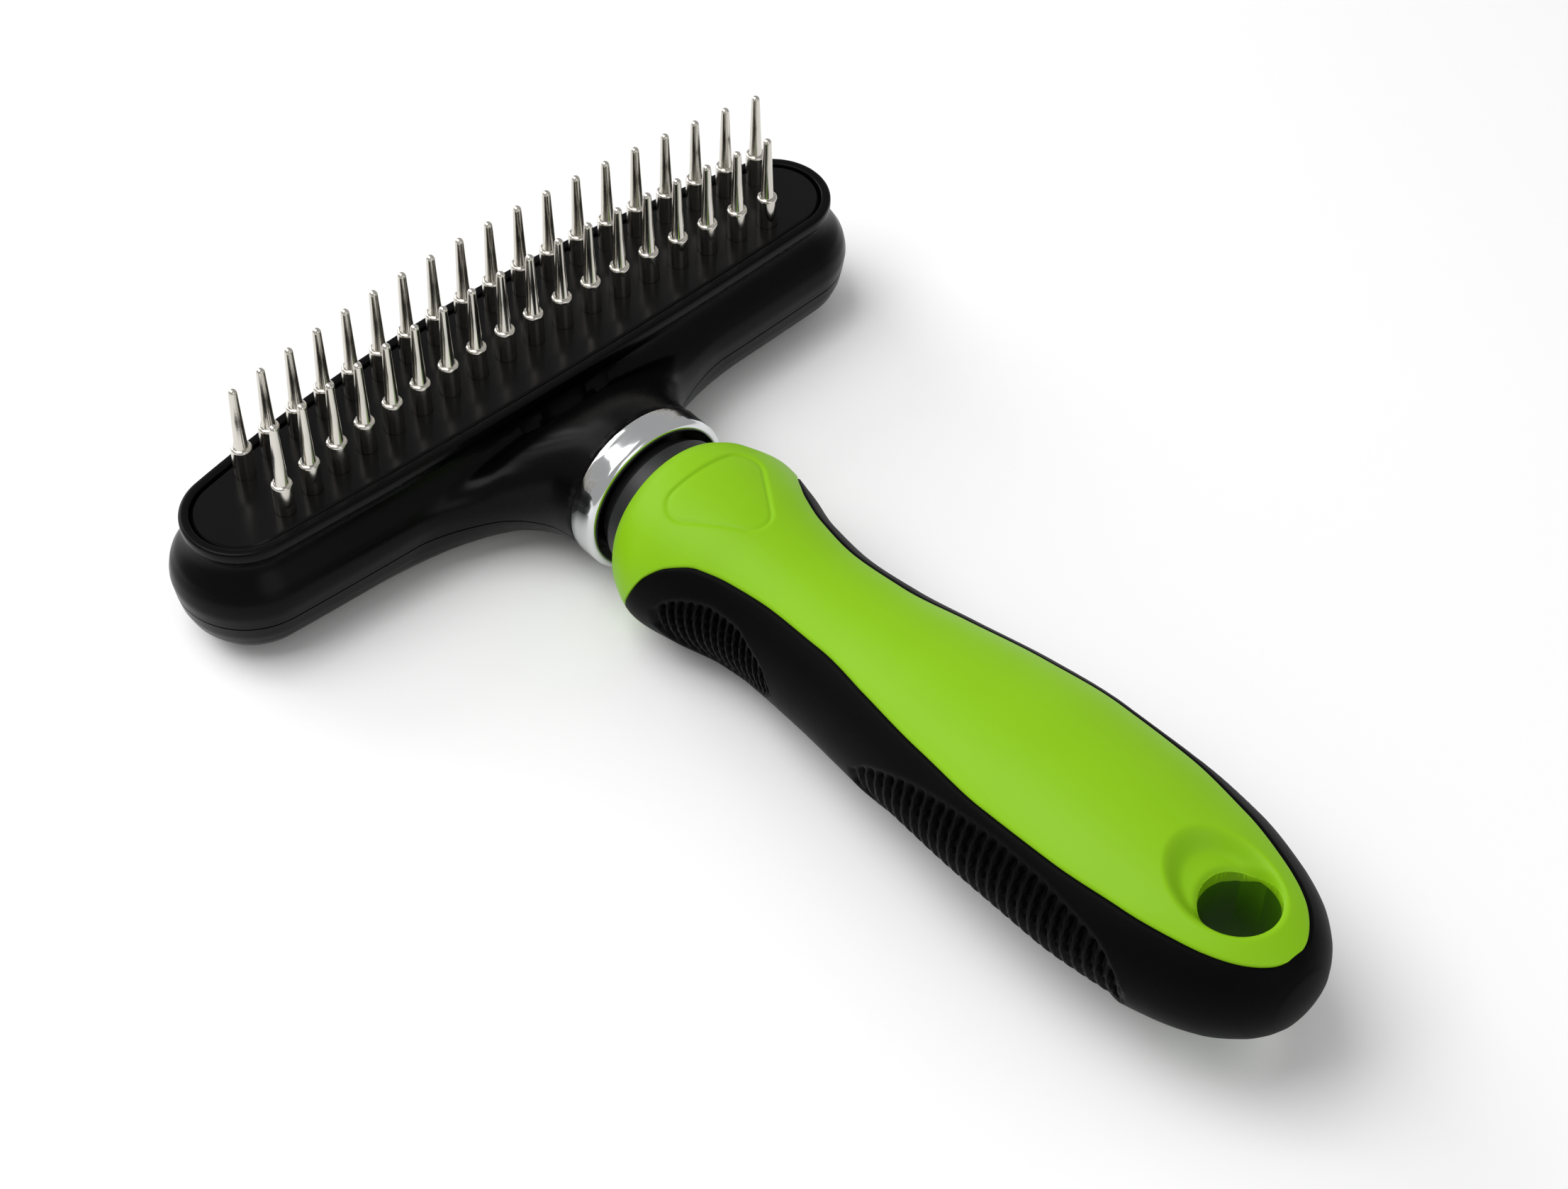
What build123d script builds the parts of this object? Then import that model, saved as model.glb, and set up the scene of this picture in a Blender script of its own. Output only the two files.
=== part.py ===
"""Double-row undercoat rake: a T-shaped grooming tool with turning steel pins.

Frame: X along the head, +Y away from the handle, +Z up the pins.
The origin is under the middle of the tool, on the plane that it lies on.
"""
from build123d import *
from math import cos, radians, sin, sqrt
import os

os.makedirs("parts", exist_ok=True)

# ---- head, in plan ----------------------------------------------------------
RIM_FAR = 12.8           # head line to the far side of the rim, at mid length
RIM_NEAR = 10.0          # head line to the handle side of the rim, at mid length
FAR_RADIUS = 235.0       # the rim is three tangent arcs and a mirrored end
NEAR_RADIUS = 1000.0
END_RADIUS = 8.4
BULGE = 2.4              # how far the shell stands out below the rim
# ---- head, in height --------------------------------------------------------
RIM_Z = 20.3             # crest of the rim
PLATE_Z = 20.1           # face of the pin plate
RIM_BAND = 1.4           # height of the rim's outer band
SEAM_Z = 8.2             # where the two shells meet
SEAM_GROW = 2.1
BACK_RADIUS = 8.0        # round of the lower shell; it comes down to the lying plane
WALL = 2.2

# ---- pins -------------------------------------------------------------------
PITCH = 5.0
BACK_PINS = 19
FRONT_PINS = 18
FIRST_PIN_X = -42.5      # both rows start here; the back row has one pin more
ROW_RADIUS = 265.0       # both rows bow away from the handle
BACK_ROW = 8.2           # head line to the back row, at mid length
FRONT_ROW = -0.7
BASE_R = 1.45
BASE_RISE = 5.1          # plate to shoulder
SHAFT_R = 0.92
TIP_R = 0.60
SHAFT_RISE = 10.3        # shoulder to the end of the tip
SHOULDER_ROUND = 0.35
FLANGE_R = 1.95
FLANGE_T = 1.0
PIN_CLEARANCE = 0.05     # radial, a running fit in the plate
END_FLOAT = 0.1

# ---- pin plate and the retainer below it ------------------------------------
RIM_WIDTH = 1.4
GROOVE = 0.3             # gap between the rim and the plate
PLATE_T = 3.0
LEDGE = 1.2              # how far the shell's ledge reaches under the plate
RETAINER_T = 1.6
RETAINER_GAP = 0.4       # side gap to the cavity

# ---- screws -----------------------------------------------------------------
SCREW_X = 30.0           # two screws tie the plate to the lower shell
SCREW_Y = 2.05           # midway between the rows there
SCREW_R = 1.3
SCREW_HEAD_R = 2.5
SCREW_HEAD_T = 1.8
SCREW_CLEARANCE = 0.2
HEAD_SCREW_TOP = 14.0
HEAD_FLOOR = 2.4         # floor of the counterbores
PLATE_BOSS_R = 2.4
PLATE_BOSS_Z = 9.0
SHELL_BOSS_R = 3.8
NECK_SCREW_Y = -21.2
NECK_SCREW_TOP = 11.0
NECK_FLOOR = 2.9

# ---- neck and ferrule -------------------------------------------------------
AXIS_Z = 12.5            # axis of the ferrule and of the handle's front end
NECK_R = 11.5
FERRULE_R = 11.85
FERRULE_BORE = 10.6
FERRULE_Y = -25.2        # its edge on the head side, from the head line
FERRULE_LONG = 4.2
SEAT_R = 10.5            # neck spigot inside the ferrule
SEAT_LONG = 3.4
SPIGOT_BORE = 7.0        # socket in the neck for the handle's spigot
SPIGOT_R = 6.9
SOCKET_Y = -16.5
SPIGOT_Y = -17.5

# ---- handle -----------------------------------------------------------------
COLLAR_R = 9.9           # core shoulder seen between ferrule and grip
COLLAR_NECK_R = 9.0
COLLAR_Y = -30.6
SKIN = 2.4               # overmould thickness
HOLE_R = 5.0
HOLE_Y = -133.8
LINER_R = 6.6
DISH_LONG = 10.2         # oval dish round the hole, half axes and offset
DISH_WIDE = 7.6
DISH_OFFSET = 2.9
DISH_TOP = 28.0
DISH_END_R = 4.2         # the dish runs down into the hole, to this radius
DISH_END = 22.6
TAIL = 145.5             # head line to the tail of the handle

# Distance behind the head line, half width, half height, rise of the centre.
GRIP = [
    (33.0, 11.0, 11.0, 0.0),
    (35.6, 13.2, 12.1, 0.0),
    (40.5, 14.9, 12.4, 0.0),
    (46.0, 13.9, 12.1, 0.0),
    (53.0, 12.1, 11.2, 0.0),
    (60.5, 11.5, 10.6, 0.1),
    (69.0, 12.1, 10.6, 0.7),
    (79.0, 13.4, 11.0, 1.9),
    (91.0, 15.1, 11.5, 3.3),
    (103.0, 16.1, 11.8, 4.3),
    (115.0, 16.3, 11.8, 4.6),
    (125.0, 15.4, 11.3, 4.6),
    (132.5, 13.5, 10.4, 4.6),
    (138.0, 11.0, 9.1, 4.7),
    (142.0, 8.0, 7.1, 4.8),
    (144.6, 4.6, 4.4, 4.8),
    (TAIL, 2.2, 2.2, 4.8),
]

# Side view of the joint between the soft inlay and the side grips: distance
# behind the head line and height. The front of it is the round lobe.
INLAY_EDGE = [
    (37.5, 5.2),
    (40.3, 11.2),
    (42.1, 17.0),
    (48.5, 20.6),
    (60.0, 20.8),
    (77.0, 22.3),
    (99.0, 24.3),
    (121.5, 25.2),
    (137.7, 24.5),
    (142.6, 23.9),
]

LENGTH_Y = RIM_FAR + BULGE + TAIL
HEAD_Y = LENGTH_Y / 2 - RIM_FAR - BULGE      # where the head line lies
BIG = 400.0


def end_centre():
    """Centre of the rim's end arc, which touches the far and near arcs."""
    far = RIM_FAR - FAR_RADIUS
    near = NEAR_RADIUS - RIM_NEAR
    to_far = FAR_RADIUS - END_RADIUS
    to_near = NEAR_RADIUS - END_RADIUS
    y = (far**2 - near**2 - to_far**2 + to_near**2) / (2 * (far - near))
    return sqrt(to_far**2 - (y - far) ** 2), y


END_X, END_Y = end_centre()


def head_plane(z):
    """A level plane with its origin on the head line."""
    return Plane.XY.offset(z).move(Location((0, HEAD_Y, 0)))


def cross_plane(y):
    """A plane across the handle, at a place along it, facing the tail."""
    return Plane(origin=(0, HEAD_Y + y, AXIS_Z), x_dir=(1, 0, 0), z_dir=(0, -1, 0))


def side_plane(x):
    """A plane facing +X, whose own axes run along +Y and up."""
    return Plane(origin=(x, HEAD_Y, 0), x_dir=(0, 1, 0), z_dir=(1, 0, 0))


def touch_point(centre_y, radius, grow):
    """Where the end arc passes into the arc about (0, centre_y)."""
    toward = Vector(END_X, END_Y - centre_y)
    scale = (radius + grow) / toward.length
    return toward.X * scale, centre_y + toward.Y * scale


def head_face(grow, z):
    """The rim's outline as a level face, offset outwards by grow."""
    far_x, far_y = touch_point(RIM_FAR - FAR_RADIUS, FAR_RADIUS, grow)
    near_x = END_X + (END_X / (NEAR_RADIUS - END_RADIUS)) * (END_RADIUS + grow)
    near_y = END_Y - sqrt((END_RADIUS + grow) ** 2 - (near_x - END_X) ** 2)
    end_x = END_X + END_RADIUS + grow
    with BuildSketch(head_plane(z)) as face:
        with BuildLine():
            ThreePointArc((-far_x, far_y), (0, RIM_FAR + grow), (far_x, far_y))
            ThreePointArc((far_x, far_y), (end_x, END_Y), (near_x, near_y))
            ThreePointArc((near_x, near_y), (0, -RIM_NEAR - grow), (-near_x, near_y))
            ThreePointArc((-near_x, near_y), (-end_x, END_Y), (-far_x, far_y))
        make_face()
    return face.sketch


def disc_face(plane, radius, places=((0, 0),)):
    """Equal discs on a plane."""
    with BuildSketch(plane) as face:
        with Locations(*places):
            Circle(radius)
    return face.sketch


def oval_face(y, half_width, half_height, rise):
    """An ellipse across the handle."""
    with BuildSketch(cross_plane(y)) as face:
        with Locations((0, rise)):
            Ellipse(half_width, half_height)
    return face.sketch


def sheet_face(z):
    """A large level face, to cut everything above or below it."""
    with BuildSketch(Plane.XY.offset(z)) as face:
        Rectangle(BIG, BIG)
    return face.sketch


def row_y(crown, x):
    """The bowed row's distance from the head line."""
    return crown - (ROW_RADIUS - sqrt(ROW_RADIUS**2 - x**2))


BACK_PLACES = [
    (FIRST_PIN_X + PITCH * i, row_y(BACK_ROW, FIRST_PIN_X + PITCH * i))
    for i in range(BACK_PINS)
]
FRONT_PLACES = [
    (FIRST_PIN_X + PITCH * i, row_y(FRONT_ROW, FIRST_PIN_X + PITCH * i))
    for i in range(FRONT_PINS)
]
PIN_PLACES = BACK_PLACES + FRONT_PLACES
SCREW_PLACES = [(-SCREW_X, SCREW_Y), (SCREW_X, SCREW_Y)]

PLATE_GROW = -RIM_WIDTH - GROOVE
CAVITY_GROW = PLATE_GROW - LEDGE
PLATE_BOTTOM = PLATE_Z - PLATE_T
POCKET_T = FLANGE_T + 2 * END_FLOAT
SHOULDER_Z = PLATE_Z + BASE_RISE

# Height and offset of the outer surface, from the rim band down to the seam.
COVE = [
    (RIM_Z - RIM_BAND, 0.0),
    (RIM_Z - 2.4, -0.8),
    (RIM_Z - 3.6, -0.7),
    (RIM_Z - 5.6, 0.6),
    (RIM_Z - 7.8, 2.0),
    (RIM_Z - 9.8, BULGE),
    (SEAM_Z, SEAM_GROW),
]

# The lower shell's quarter round, from the seam to the lying plane.
ROUND = [
    (
        SEAM_Z * (1 - sin(radians(angle))),
        SEAM_GROW - BACK_RADIUS * (1 - cos(radians(angle))),
    )
    for angle in (0, 20, 40, 60, 78, 90)
]

# Neck sections: place along the handle, half width, top and bottom.
NECK = [
    (-8.5, 25.0, 14.0, 1.0),
    (-12.5, 20.5, 17.6, 0.6),
    (-17.0, 15.2, 21.0, 0.6),
    (-21.0, 12.4, 23.2, 0.8),
    (FERRULE_Y, NECK_R, AXIS_Z + NECK_R, AXIS_Z - NECK_R),
]


def neck_body():
    """Add the neck, from inside the head to the ferrule's seat."""
    loft(
        [
            oval_face(y, half, (top - bottom) / 2, (top + bottom) / 2 - AXIS_Z)
            for y, half, top, bottom in NECK
        ]
    )
    extrude(disc_face(cross_plane(FERRULE_Y), SEAT_R), amount=SEAT_LONG)


def hollow_out(floor):
    """Cut the cavity under the pin plate and the handle's socket."""
    extrude(head_face(CAVITY_GROW, floor), amount=BIG, mode=Mode.SUBTRACT)
    socket = disc_face(cross_plane(SOCKET_Y), SPIGOT_BORE)
    extrude(socket, amount=BIG, mode=Mode.SUBTRACT)


# ---- upper shell ------------------------------------------------------------
with BuildPart() as upper_shell:
    loft([head_face(grow, z) for z, grow in COVE])
    extrude(head_face(0.0, RIM_Z - RIM_BAND), amount=RIM_BAND)
    fillet(upper_shell.edges().group_by(Axis.Z)[-1], 0.5)
    neck_body()
    extrude(head_face(-RIM_WIDTH, PLATE_BOTTOM), amount=BIG, mode=Mode.SUBTRACT)
    hollow_out(0)
    extrude(sheet_face(SEAM_Z), amount=-BIG, mode=Mode.SUBTRACT)
upper_shell.part.label = "upper_shell"
export_step(upper_shell.part, "parts/upper_shell.step")

# ---- lower shell ------------------------------------------------------------
with BuildPart() as lower_shell:
    loft([head_face(grow, z) for z, grow in ROUND])
    neck_body()
    hollow_out(WALL)
    shell_bosses = disc_face(head_plane(WALL), SHELL_BOSS_R, SCREW_PLACES)
    extrude(shell_bosses, amount=SEAM_Z - WALL)
    extrude(sheet_face(SEAM_Z), amount=BIG, mode=Mode.SUBTRACT)
    head_places = SCREW_PLACES + [(0, NECK_SCREW_Y)]
    shanks = disc_face(head_plane(0), SCREW_R + SCREW_CLEARANCE, head_places)
    extrude(shanks, amount=SEAM_Z, mode=Mode.SUBTRACT)
    recess_r = SCREW_HEAD_R + SCREW_CLEARANCE
    recesses = disc_face(head_plane(0), recess_r, SCREW_PLACES)
    extrude(recesses, amount=HEAD_FLOOR, mode=Mode.SUBTRACT)
    recess = disc_face(head_plane(0), recess_r, [(0, NECK_SCREW_Y)])
    extrude(recess, amount=NECK_FLOOR, mode=Mode.SUBTRACT)
lower_shell.part.label = "lower_shell"
export_step(lower_shell.part, "parts/lower_shell.step")

# ---- pin plate --------------------------------------------------------------
with BuildPart() as pin_plate:
    extrude(head_face(PLATE_GROW, PLATE_BOTTOM), amount=PLATE_T)
    chamfer(pin_plate.edges().group_by(Axis.Z)[-1], 0.3)
    plate_bosses = disc_face(head_plane(PLATE_BOSS_Z), PLATE_BOSS_R, SCREW_PLACES)
    extrude(plate_bosses, amount=PLATE_BOTTOM - PLATE_BOSS_Z)
    pockets_plane = head_plane(PLATE_BOTTOM)
    pockets = disc_face(pockets_plane, FLANGE_R + 0.15, PIN_PLACES)
    extrude(pockets, amount=POCKET_T, mode=Mode.SUBTRACT)
    bores = disc_face(pockets_plane, BASE_R + PIN_CLEARANCE, PIN_PLACES)
    extrude(bores, amount=PLATE_T, mode=Mode.SUBTRACT)
    pilots = disc_face(head_plane(PLATE_BOSS_Z), SCREW_R, SCREW_PLACES)
    extrude(pilots, amount=HEAD_SCREW_TOP + 0.5 - PLATE_BOSS_Z, mode=Mode.SUBTRACT)
pin_plate.part.label = "pin_plate"
export_step(pin_plate.part, "parts/pin_plate.step")

# ---- retainer under the pins' flanges ---------------------------------------
with BuildPart() as pin_retainer:
    retainer_grow = CAVITY_GROW - RETAINER_GAP
    extrude(head_face(retainer_grow, PLATE_BOTTOM), amount=-RETAINER_T)
    boss_holes = disc_face(head_plane(PLATE_BOTTOM), PLATE_BOSS_R + 0.2, SCREW_PLACES)
    extrude(boss_holes, amount=-RETAINER_T, mode=Mode.SUBTRACT)
pin_retainer.part.label = "pin_retainer"
export_step(pin_retainer.part, "parts/pin_retainer.step")

# ---- pins -------------------------------------------------------------------
with BuildPart() as pin:
    with BuildSketch(Plane.XZ):
        with BuildLine():
            foot_z = PLATE_BOTTOM + END_FLOAT
            tip_z = SHOULDER_Z + SHAFT_RISE
            Polyline(
                (0, tip_z),
                (0, foot_z),
                (FLANGE_R, foot_z),
                (FLANGE_R, foot_z + FLANGE_T),
                (BASE_R, foot_z + FLANGE_T),
                (BASE_R, SHOULDER_Z - SHOULDER_ROUND),
            )
            RadiusArc(
                (BASE_R, SHOULDER_Z - SHOULDER_ROUND),
                (BASE_R - SHOULDER_ROUND, SHOULDER_Z),
                -SHOULDER_ROUND,
            )
            Polyline(
                (BASE_R - SHOULDER_ROUND, SHOULDER_Z),
                (SHAFT_R, SHOULDER_Z),
                (TIP_R, tip_z - TIP_R),
            )
            RadiusArc((TIP_R, tip_z - TIP_R), (0, tip_z), -TIP_R)
        make_face()
    revolve(axis=Axis.Z)

for row, places in (("back", BACK_PLACES), ("front", FRONT_PLACES)):
    for number, (x, y) in enumerate(places, start=1):
        name = f"pin_{row}_{number:02d}"
        with BuildPart() as placed_pin:
            with Locations((x, HEAD_Y + y, 0)):
                add(pin.part)
        placed_pin.part.label = name
        export_step(placed_pin.part, f"parts/{name}.step")

# ---- ferrule ----------------------------------------------------------------
with BuildPart() as ferrule:
    extrude(disc_face(cross_plane(FERRULE_Y), FERRULE_R), amount=FERRULE_LONG)
    fillet(ferrule.edges().group_by(Axis.Y)[0], 0.8)
    fillet(ferrule.edges().group_by(Axis.Y)[-1], 0.3)
    bore = disc_face(cross_plane(FERRULE_Y), FERRULE_BORE)
    extrude(bore, amount=FERRULE_LONG, mode=Mode.SUBTRACT)
ferrule.part.label = "ferrule"
export_step(ferrule.part, "parts/ferrule.step")

# ---- handle core ------------------------------------------------------------
CORE_FRONT = 36.0
CORE_BACK = 140.0
core_sections = [
    oval_face(-along, half_width - SKIN, half_height - SKIN, rise)
    for along, half_width, half_height, rise in GRIP
    if CORE_FRONT < along < CORE_BACK
]

with BuildPart() as handle_core:
    loft(core_sections)
    extrude(disc_face(cross_plane(COLLAR_Y), COLLAR_R), amount=41.0 + COLLAR_Y)
    seat_end = FERRULE_Y - SEAT_LONG - 0.2
    extrude(disc_face(cross_plane(seat_end), COLLAR_NECK_R), amount=seat_end - COLLAR_Y)
    extrude(disc_face(cross_plane(SPIGOT_Y), SPIGOT_R), amount=SPIGOT_Y - seat_end)
    liner_hole = disc_face(head_plane(0), LINER_R, [(0, HOLE_Y)])
    extrude(liner_hole, amount=BIG, mode=Mode.SUBTRACT)
    pilot = disc_face(head_plane(0), SCREW_R, [(0, NECK_SCREW_Y)])
    extrude(pilot, amount=NECK_SCREW_TOP + 0.5, mode=Mode.SUBTRACT)
handle_core.part.label = "handle_core"
export_step(handle_core.part, "parts/handle_core.step")


# ---- overmoulds -------------------------------------------------------------
def grip_body():
    """Add the whole outer form of the grip."""
    loft([oval_face(-along, width, height, rise) for along, width, height, rise in GRIP])


def side_grip_region():
    """A block through the grip that holds all of the side grips' rubber."""
    with BuildSketch(side_plane(-BIG / 2)) as region:
        with BuildLine():
            start = (-INLAY_EDGE[0][0], INLAY_EDGE[0][1])
            finish = (-INLAY_EDGE[-1][0], INLAY_EDGE[-1][1])
            Spline(*[(-along, height) for along, height in INLAY_EDGE])
            Polyline(
                finish,
                (finish[0] - 1.0, BIG),
                (-BIG, BIG),
                (-BIG, -BIG),
                (start[0] + 0.7, -BIG),
                start,
            )
        make_face()
    return region.sketch


with BuildPart() as side_grip:
    grip_body()
    extrude(side_grip_region(), amount=BIG, mode=Mode.INTERSECT)
    add(handle_core.part, mode=Mode.SUBTRACT)
    liner_hole = disc_face(head_plane(0), LINER_R, [(0, HOLE_Y)])
    extrude(liner_hole, amount=BIG, mode=Mode.SUBTRACT)
side_grip.part.label = "side_grip"
export_step(side_grip.part, "parts/side_grip.step")

with BuildPart() as inlay_grip:
    grip_body()
    add(side_grip.part, mode=Mode.SUBTRACT)
    add(handle_core.part, mode=Mode.SUBTRACT)
    hang_hole = disc_face(head_plane(0), HOLE_R, [(0, HOLE_Y)])
    extrude(hang_hole, amount=BIG, mode=Mode.SUBTRACT)
    with BuildSketch(head_plane(DISH_TOP)):
        with Locations((0, HOLE_Y + DISH_OFFSET)):
            Ellipse(DISH_WIDE, DISH_LONG)
    with BuildSketch(head_plane(DISH_END)):
        with Locations((0, HOLE_Y)):
            Circle(DISH_END_R)
    loft(mode=Mode.SUBTRACT)
inlay_grip.part.label = "inlay_grip"
export_step(inlay_grip.part, "parts/inlay_grip.step")


# ---- screws -----------------------------------------------------------------
def add_screw(x, y, floor, top):
    """Add a pan-head screw that points up from its recess's floor."""
    place = [(x, y)]
    extrude(disc_face(head_plane(floor), SCREW_HEAD_R, place), amount=-SCREW_HEAD_T)
    extrude(disc_face(head_plane(floor), SCREW_R, place), amount=top - floor)


with BuildPart() as head_screws:
    for x, y in SCREW_PLACES:
        add_screw(x, y, HEAD_FLOOR, HEAD_SCREW_TOP)
head_screws.part.label = "head_screws"
export_step(head_screws.part, "parts/head_screws.step")

with BuildPart() as neck_screw:
    add_screw(0, NECK_SCREW_Y, NECK_FLOOR, NECK_SCREW_TOP)
neck_screw.part.label = "neck_screw"
export_step(neck_screw.part, "parts/neck_screw.step")
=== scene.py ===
"""Looks of the double-row undercoat rake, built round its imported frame.

X runs along the head, +Y from the handle to the head, +Z up the pins.
Sizes in the classes are millimetres; meshes are metres.
"""
import logging
import math
from dataclasses import dataclass
from enum import Enum
from typing import Sequence

import bpy
import numpy as np
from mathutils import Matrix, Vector


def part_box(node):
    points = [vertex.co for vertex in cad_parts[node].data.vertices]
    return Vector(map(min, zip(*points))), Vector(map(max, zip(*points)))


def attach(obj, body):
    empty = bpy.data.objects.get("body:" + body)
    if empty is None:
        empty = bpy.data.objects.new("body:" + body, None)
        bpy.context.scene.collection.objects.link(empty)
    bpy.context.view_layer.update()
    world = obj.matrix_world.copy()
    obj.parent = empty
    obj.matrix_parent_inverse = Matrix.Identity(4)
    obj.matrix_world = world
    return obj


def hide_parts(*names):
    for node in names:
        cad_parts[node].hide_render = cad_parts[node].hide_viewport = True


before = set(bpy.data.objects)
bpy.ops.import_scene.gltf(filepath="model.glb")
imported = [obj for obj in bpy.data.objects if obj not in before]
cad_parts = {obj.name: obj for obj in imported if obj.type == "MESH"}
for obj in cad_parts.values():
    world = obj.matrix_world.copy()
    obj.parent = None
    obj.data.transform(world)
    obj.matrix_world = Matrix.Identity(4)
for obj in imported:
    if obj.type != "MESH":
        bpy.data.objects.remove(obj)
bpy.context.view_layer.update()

log = logging.getLogger("rake")
MM = 0.001
ROOT_BODY = "rake"
HEAD_LINE = 65.15        # Y of the head line
AXIS_Z = 12.5            # height of the ferrule's axis


# ---- numbers ----------------------------------------------------------------
def smooth_step(low: float, high: float, value: np.ndarray) -> np.ndarray:
    """Ramp softly from 0 at low to 1 at high."""
    t = np.clip((value - low) / (high - low), 0.0, 1.0)
    return t * t * (3.0 - 2.0 * t)


def eased(table: Sequence[Sequence[float]], column: int, at: np.ndarray) -> np.ndarray:
    """Read a table between its rows along a smooth curve.

    Args:
        table: rows whose first number rises.
        column: the number wanted from each row.
        at: where to read, in the first number's units.

    Returns:
        The curve's value at each place.
    """
    xs = np.array([row[0] for row in table], float)
    ys = np.array([row[column] for row in table], float)
    step = np.diff(xs)
    rise = np.diff(ys) / step
    slope = np.empty_like(ys)
    slope[0], slope[-1] = rise[0], rise[-1]
    same = rise[:-1] * rise[1:] > 0
    safe = np.where(same, rise[:-1] + rise[1:], 1.0)
    slope[1:-1] = np.where(same, 2.0 * rise[:-1] * rise[1:] / safe, 0.0)
    i = np.clip(np.searchsorted(xs, at) - 1, 0, len(xs) - 2)
    t = np.clip((at - xs[i]) / step[i], 0.0, 1.0)
    return (
        (1 + 2 * t) * (1 - t) ** 2 * ys[i]
        + t * (1 - t) ** 2 * step[i] * slope[i]
        + t * t * (3 - 2 * t) * ys[i + 1]
        + t * t * (t - 1) * step[i] * slope[i + 1]
    )


def polygon_gap(u: np.ndarray, v: np.ndarray, corners: Sequence[Sequence[float]]) -> np.ndarray:
    """Distance outside a polygon in its own plane; negative inside."""
    near = np.full(u.shape, 1e9)
    inside = np.zeros(u.shape, bool)
    for (au, av), (bu, bv) in zip(corners, [*corners[1:], corners[0]]):
        run = (bu - au) ** 2 + (bv - av) ** 2
        t = np.clip(((u - au) * (bu - au) + (v - av) * (bv - av)) / run, 0, 1)
        near = np.minimum(near, np.hypot(u - au - t * (bu - au), v - av - t * (bv - av)))
        if av != bv:
            cross = au + (v - av) * (bu - au) / (bv - av)
            inside ^= ((av > v) != (bv > v)) & (u < cross)
    return np.where(inside, -near, near)


# ---- modelling by operators -------------------------------------------------
def rest_selection() -> None:
    """Leave edit mode and deselect everything."""
    if bpy.context.object and bpy.context.object.mode != "OBJECT":
        bpy.ops.object.mode_set(mode="OBJECT")
    bpy.ops.object.select_all(action="DESELECT")


def take(obj: bpy.types.Object) -> None:
    """Select one object alone and make it active."""
    rest_selection()
    obj.select_set(True)
    bpy.context.view_layer.objects.active = obj


def modify(obj: bpy.types.Object, kind: str, **settings: object) -> None:
    """Add a modifier, set it and apply it.

    Args:
        obj: the piece that it changes.
        kind: the modifier's type.
        settings: its values by name.
    """
    take(obj)
    modifier = obj.modifiers.new(kind.lower(), kind)
    for name, value in settings.items():
        setattr(modifier, name, value)
    bpy.ops.object.modifier_apply(modifier=modifier.name)


def settle(obj: bpy.types.Object, name: str) -> bpy.types.Object:
    """Put a piece's place into its mesh and name it."""
    take(obj)
    bpy.ops.object.transform_apply(location=True, rotation=True, scale=True)
    obj.name = name
    obj.data.name = name
    return obj


def face_out(obj: bpy.types.Object, merge: float = 1e-6) -> None:
    """Merge doubles and turn every face outwards."""
    take(obj)
    bpy.ops.object.mode_set(mode="EDIT")
    bpy.ops.mesh.select_all(action="SELECT")
    bpy.ops.mesh.remove_doubles(threshold=merge)
    bpy.ops.mesh.normals_make_consistent(inside=False)
    bpy.ops.object.mode_set(mode="OBJECT")


def drop_inner_walls(obj: bpy.types.Object) -> None:
    """Delete the slit walls that lie in the plane x = 0, then shut any gap left open."""
    take(obj)
    bpy.ops.object.mode_set(mode="EDIT")
    bpy.ops.mesh.select_mode(type="FACE")
    bpy.ops.mesh.select_all(action="DESELECT")
    bpy.ops.object.mode_set(mode="OBJECT")
    points = obj.data.vertices
    for face in obj.data.polygons:
        face.select = all(abs(points[i].co.x) < 1e-7 for i in face.vertices)
    bpy.ops.object.mode_set(mode="EDIT")
    bpy.ops.mesh.delete(type="ONLY_FACE")
    bpy.ops.mesh.select_mode(type="VERT")
    bpy.ops.mesh.select_all(action="SELECT")
    bpy.ops.mesh.delete_loose()
    bpy.ops.mesh.select_all(action="SELECT")
    bpy.ops.mesh.fill_holes(sides=0)
    bpy.ops.mesh.normals_make_consistent(inside=False)
    bpy.ops.object.mode_set(mode="OBJECT")


def smooth(obj: bpy.types.Object, degrees: float = 35.0) -> None:
    """Shade smooth, with edges sharper than an angle kept crisp."""
    take(obj)
    bpy.ops.object.shade_smooth_by_angle(angle=math.radians(degrees))


def carve(obj: bpy.types.Object, cutter: bpy.types.Object, how: str = "DIFFERENCE") -> None:
    """Cut a piece with another closed shape, which is then thrown away."""
    modify(obj, "BOOLEAN", object=cutter, operation=how, solver="EXACT")
    bpy.data.objects.remove(cutter)


def woven(name: str, places: np.ndarray, round_about: bool) -> bpy.types.Object:
    """Shape a grid primitive into a surface.

    Args:
        name: the piece's name.
        places: rows by columns by 3, in mm.
        round_about: whether the last column joins the first.

    Returns:
        The piece, as an open sheet or tube.
    """
    if round_about:
        places = np.concatenate([places, places[:, :1]], axis=1)
    rows, columns = places.shape[:2]
    rest_selection()
    bpy.ops.mesh.primitive_grid_add(x_subdivisions=columns - 1, y_subdivisions=rows - 1, size=2)
    obj = bpy.context.object
    flat = np.empty(len(obj.data.vertices) * 3)
    obj.data.vertices.foreach_get("co", flat)
    flat = flat.reshape(-1, 3)
    column = np.rint((flat[:, 0] + 1) / 2 * (columns - 1)).astype(int)
    row = np.rint((flat[:, 1] + 1) / 2 * (rows - 1)).astype(int)
    obj.data.vertices.foreach_set("co", (places[row, column] * MM).ravel())
    obj.data.update()
    return settle(obj, name)


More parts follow.
